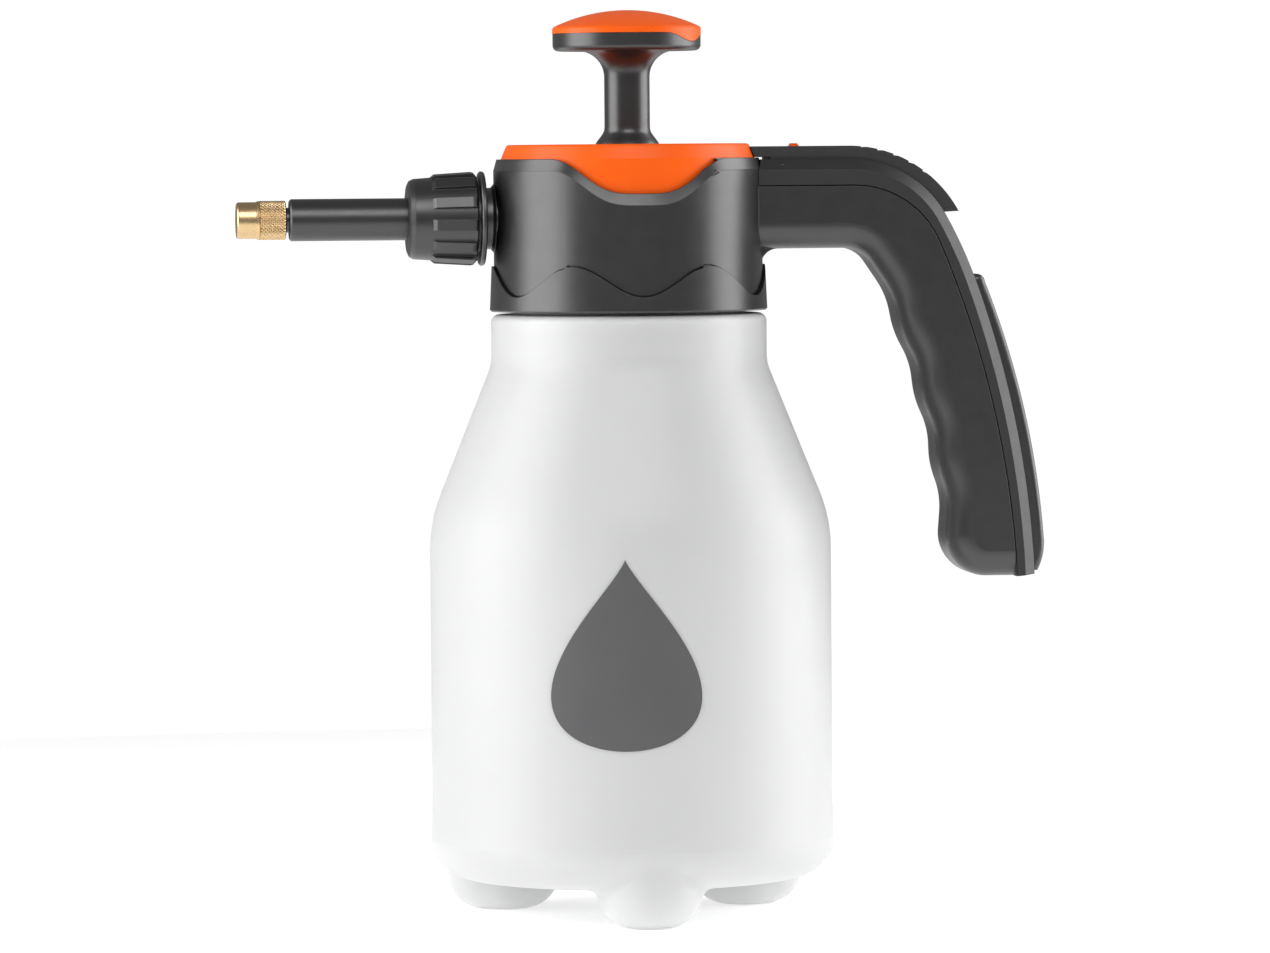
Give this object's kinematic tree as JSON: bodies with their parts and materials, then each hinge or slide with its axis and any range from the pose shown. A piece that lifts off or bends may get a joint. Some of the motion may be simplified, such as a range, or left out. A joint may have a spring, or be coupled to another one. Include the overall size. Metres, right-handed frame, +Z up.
{
  "type": "pump sprayer",
  "caption": "Hand pump pressure sprayer: translucent tank, screw-on head with plunger pump, side handle with thumb trigger, short lance and brass nozzle.",
  "frame": {"origin": "tank axis at the plane that the three feet stand on", "axes": "+Z up along the tank axis, +X towards the handle, -X along the lance, -Y the side with the printed drop and a foot"},
  "size_m": [0.2542, 0.1272, 0.2846],
  "materials": {
    "tank_plastic": "milky translucent blow-moulded polyethylene, satin",
    "dark_plastic": "dark grey moulded plastic, fine satin",
    "black_plastic": "black moulded plastic, satin",
    "orange_plastic": "bright orange moulded plastic, semi-gloss",
    "pale_plastic": "natural polypropylene",
    "rubber": "black nitrile rubber",
    "steel": "stainless steel",
    "brass": "turned and knurled brass"
  },
  "bodies": {
    "tank": {"tank_bottle": "tank_plastic"},
    "seal": {"neck_gasket": "rubber"},
    "head": {"head_housing": "dark_plastic", "screw_ring": "dark_plastic", "top_cover": "orange_plastic", "handle_spine": "dark_plastic", "back_strap": "dark_plastic", "handle_screws": "steel", "trigger_pin": "steel", "pump_barrel": "pale_plastic", "barrel_gasket": "rubber", "barrel_cap": "black_plastic", "check_valve": "rubber", "dip_tube": "pale_plastic", "strainer": "black_plastic", "valve_body": "black_plastic", "valve_spring": "steel", "feed_tube": "pale_plastic", "delivery_tube": "pale_plastic", "outlet_fitting": "dark_plastic", "outlet_o_ring": "rubber", "relief_body": "black_plastic", "relief_spring": "steel"},
    "piston_ring": {"piston_seal": "rubber"},
    "plunger": {"pump_knob": "dark_plastic", "knob_cap": "orange_plastic", "pump_rod": "black_plastic", "piston": "pale_plastic"},
    "trigger": {"trigger": "black_plastic"},
    "lock": {"trigger_lock": "orange_plastic"},
    "valve": {"valve_stem": "brass", "valve_seal": "rubber"},
    "lance": {"lance_tube": "dark_plastic", "lance_o_ring": "rubber", "swirl_core": "black_plastic"},
    "nut": {"union_nut": "dark_plastic"},
    "nozzle_ring": {"nozzle_o_ring": "rubber"},
    "nozzle": {"nozzle_cap": "brass"},
    "relief": {"relief_knob": "black_plastic", "relief_seal": "rubber"}
  },
  "joints": [
    {"name": "head_rise", "type": "slide", "parent": "tank", "child": "seal", "axis": [0, 0, 1], "range_m": [0, 0.0075]},
    {"name": "head_turn", "type": "hinge", "parent": "seal", "child": "head", "pos_m": [0, 0, 0.2], "axis": [0, 0, 1], "range_deg": [0, 450]},
    {"name": "pump_stroke", "type": "slide", "parent": "head", "child": "piston_ring", "axis": [0, 0, 1], "range_m": [0, 0.075]},
    {"name": "pump_turn", "type": "hinge", "parent": "piston_ring", "child": "plunger", "pos_m": [0, 0, 0.24], "axis": [0, 0, 1], "continuous": true},
    {"name": "trigger_press", "type": "hinge", "parent": "head", "child": "trigger", "pos_m": [0.0475, 0, 0.2342], "axis": [0, 1, 0], "range_deg": [0, 4.5], "stiffness_Nm_per_rad": 4, "springref_deg": -3.44},
    {"name": "lock_slide", "type": "slide", "parent": "trigger", "child": "lock", "axis": [-1, 0, 0], "range_m": [0, 0.005]},
    {"name": "valve_stroke", "type": "slide", "parent": "head", "child": "valve", "axis": [0, 0, -1], "range_m": [0, 0.0014], "deforming": ["valve_spring"]},
    {"name": "lance_slide", "type": "slide", "parent": "head", "child": "lance", "axis": [-1, 0, 0], "range_m": [0, 0.0051]},
    {"name": "nut_turn", "type": "hinge", "parent": "lance", "child": "nut", "pos_m": [0, 0, 0.2195], "axis": [-1, 0, 0], "range_deg": [0, 720]},
    {"name": "nozzle_slide", "type": "slide", "parent": "lance", "child": "nozzle_ring", "axis": [-1, 0, 0], "range_m": [-0.00085, 0.0012]},
    {"name": "nozzle_turn", "type": "hinge", "parent": "nozzle_ring", "child": "nozzle", "pos_m": [0, 0, 0.2195], "axis": [-1, 0, 0], "range_deg": [-300, 420]},
    {"name": "relief_pull", "type": "slide", "parent": "head", "child": "relief", "axis": [0, 0, 1], "range_m": [0, 0.003], "stiffness_N_per_m": 600, "springref_m": -0.004, "deforming": ["relief_spring"]}
  ],
  "couplings": [
    {"joint": "head_rise", "follows": "head_turn", "m_per_rad": 0.00095493},
    {"joint": "valve_stroke", "follows": "trigger_press", "m_per_rad": 0.0165},
    {"joint": "lance_slide", "follows": "nut_turn", "m_per_rad": 0.00039789},
    {"joint": "nozzle_slide", "follows": "nozzle_turn", "m_per_rad": 0.00015915}
  ]
}
